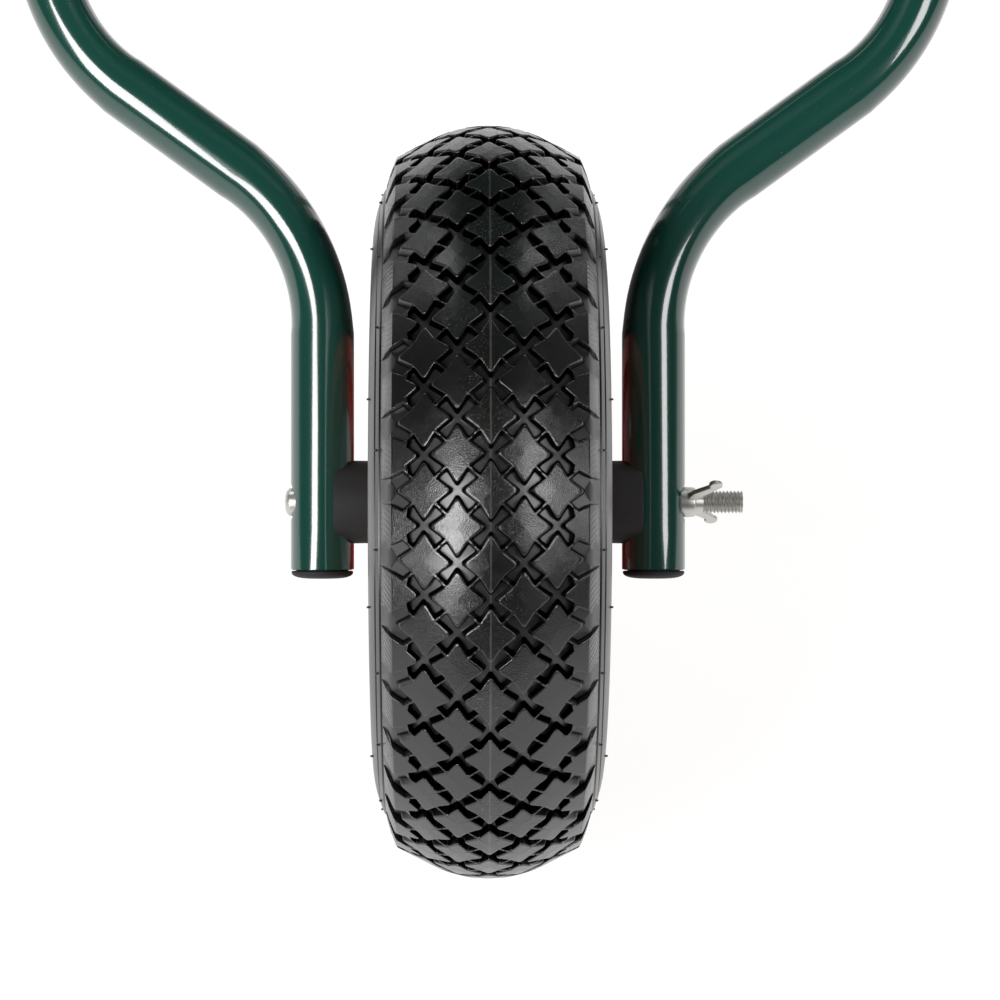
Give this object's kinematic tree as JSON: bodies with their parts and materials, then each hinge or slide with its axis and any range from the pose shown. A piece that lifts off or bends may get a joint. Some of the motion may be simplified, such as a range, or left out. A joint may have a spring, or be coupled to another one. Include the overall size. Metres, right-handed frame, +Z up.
{
  "type": "folding wheelbarrow",
  "caption": "Folding wheelbarrow: tread tyre between bent tubes, leg hoop folding about clamp bolts, slung cloth tub, handles.",
  "frame": {"origin": "bottom centre of the bounding box, on the ground between the wheel and the handles, opened for use", "axes": "+Z up, +Y from the wheel towards the handles, +X along the axle towards the wing nut"},
  "size_m": [0.529, 1.0556, 0.6804],
  "materials": {
    "frame_green": "glossy dark green powder coat on steel tube",
    "rim_red": "glossy red paint on pressed steel",
    "tyre_rubber": "black rubber, satin, fine leather grain on the tread blocks",
    "tube_rubber": "smooth black butyl rubber",
    "grip_rubber": "matt black rubber",
    "black_plastic": "moulded black plastic, satin",
    "nylon": "natural nylon",
    "zinc": "bright zinc plating",
    "brass": "turned brass",
    "tub_cloth": "coated woven cloth, dark green"
  },
  "bodies": {
    "main_frame": {"side_tube_left": "frame_green", "side_tube_right": "frame_green", "front_cross_tube": "frame_green", "rear_cross_tube": "frame_green", "grip_left": "grip_rubber", "grip_right": "grip_rubber", "tube_plug_left": "black_plastic", "tube_plug_right": "black_plastic", "saddle_spacer_left": "black_plastic", "saddle_spacer_right": "black_plastic", "pivot_spacer_left": "black_plastic", "pivot_spacer_right": "black_plastic", "axle_bolt": "zinc", "axle_sleeve": "zinc", "pivot_bolt_left": "zinc", "pivot_bolt_right": "zinc", "pivot_washer_left": "zinc", "pivot_washer_right": "zinc", "cloth_tub": "tub_cloth", "rear_sleeve": "tub_cloth"},
    "wheel": {"tyre": "tyre_rubber", "inner_tube": "tube_rubber", "valve_stem": "tube_rubber", "valve_cap": "black_plastic", "rim_half_left": "rim_red", "rim_half_right": "rim_red", "hub_tube": "zinc", "bush_left": "nylon", "bush_right": "nylon", "rim_bolt_1": "zinc", "rim_bolt_2": "zinc", "rim_bolt_3": "zinc", "rim_bolt_4": "zinc", "rim_nut_1": "zinc", "rim_nut_2": "zinc", "rim_nut_3": "zinc", "rim_nut_4": "zinc"},
    "leg_frame": {"leg_hoop": "frame_green", "leg_brace": "frame_green", "stop_plate_left": "frame_green", "stop_plate_right": "frame_green", "foot_left": "grip_rubber", "foot_right": "grip_rubber", "front_sleeve": "tub_cloth"},
    "wing_nut_body": {"wing_nut": "zinc"},
    "left_knob": {"clamp_knob_left": "black_plastic", "knob_insert_left": "brass"},
    "right_knob": {"clamp_knob_right": "black_plastic", "knob_insert_right": "brass"}
  },
  "joints": [
    {"name": "wheel_spin", "type": "hinge", "parent": "main_frame", "child": "wheel", "pos_m": [0, -0.39784, 0.13], "axis": [1, 0, 0], "continuous": true},
    {"name": "wing_nut_turn", "type": "hinge", "parent": "main_frame", "child": "wing_nut_body", "pos_m": [0, -0.39784, 0.13], "axis": [1, 0, 0], "continuous": true},
    {"name": "leg_fold", "type": "hinge", "parent": "main_frame", "child": "leg_frame", "pos_m": [0, -0.14138, 0.33768], "axis": [-1, 0, 0], "range_deg": [0, 78], "deforming": ["cloth_tub"]},
    {"name": "left_knob_turn", "type": "hinge", "parent": "main_frame", "child": "left_knob", "pos_m": [0, -0.14138, 0.33768], "axis": [-1, 0, 0], "continuous": true},
    {"name": "right_knob_turn", "type": "hinge", "parent": "main_frame", "child": "right_knob", "pos_m": [0, -0.14138, 0.33768], "axis": [1, 0, 0], "continuous": true}
  ]
}
